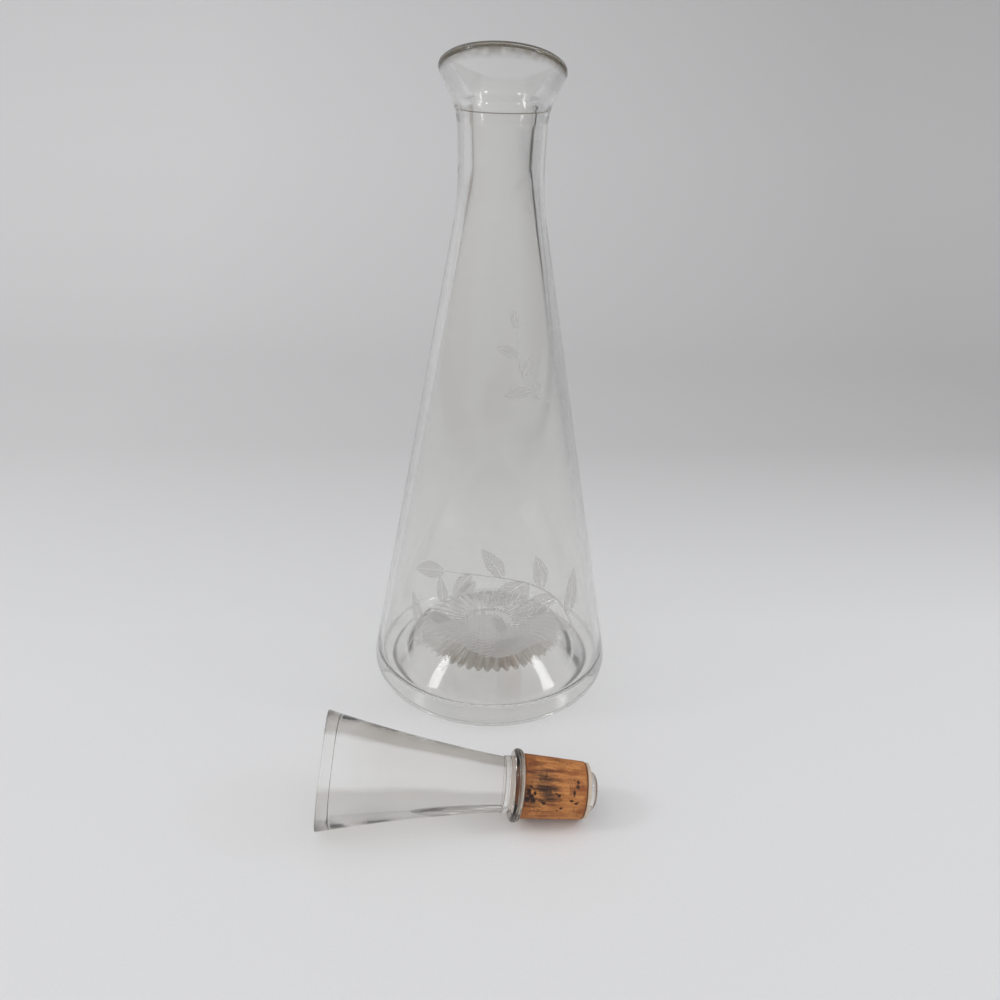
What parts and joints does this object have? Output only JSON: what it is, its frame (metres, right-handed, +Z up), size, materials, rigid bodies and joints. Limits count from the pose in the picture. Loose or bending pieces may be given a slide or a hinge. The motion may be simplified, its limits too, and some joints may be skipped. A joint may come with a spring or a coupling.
{
  "type": "decanter",
  "caption": "Conical clear-glass decanter with a slanted flared mouth and a pushed-up ribbed foot, its corked trumpet-shaped glass stopper lying in front of it.",
  "frame": {"origin": "on the table, at the middle of the footprint that the decanter and the stopper beside it share", "axes": "+Z up along the decanter; its slanted mouth is high towards -Y and low towards +Y; the stopper lies at -Y, along X, with its cork towards +X"},
  "size_m": [0.1136, 0.1614, 0.249],
  "materials": {
    "decanter_glass": "clear, polished, with a frosted etched band",
    "stopper_glass": "clear, polished",
    "cork": "natural cork, dry, stained near the top",
    "end_ring": "milky, satin"
  },
  "bodies": {
    "decanter": {"decanter_body": "decanter_glass"},
    "stopper": {"stopper_glass": "stopper_glass", "cork_sleeve": "cork", "end_ring": "end_ring"}
  },
  "joints": [
    {"name": "stopper_lift", "type": "slide", "parent": "decanter", "child": "stopper", "axis": [0, 0, 1], "range_m": [0, 0.25]}
  ]
}
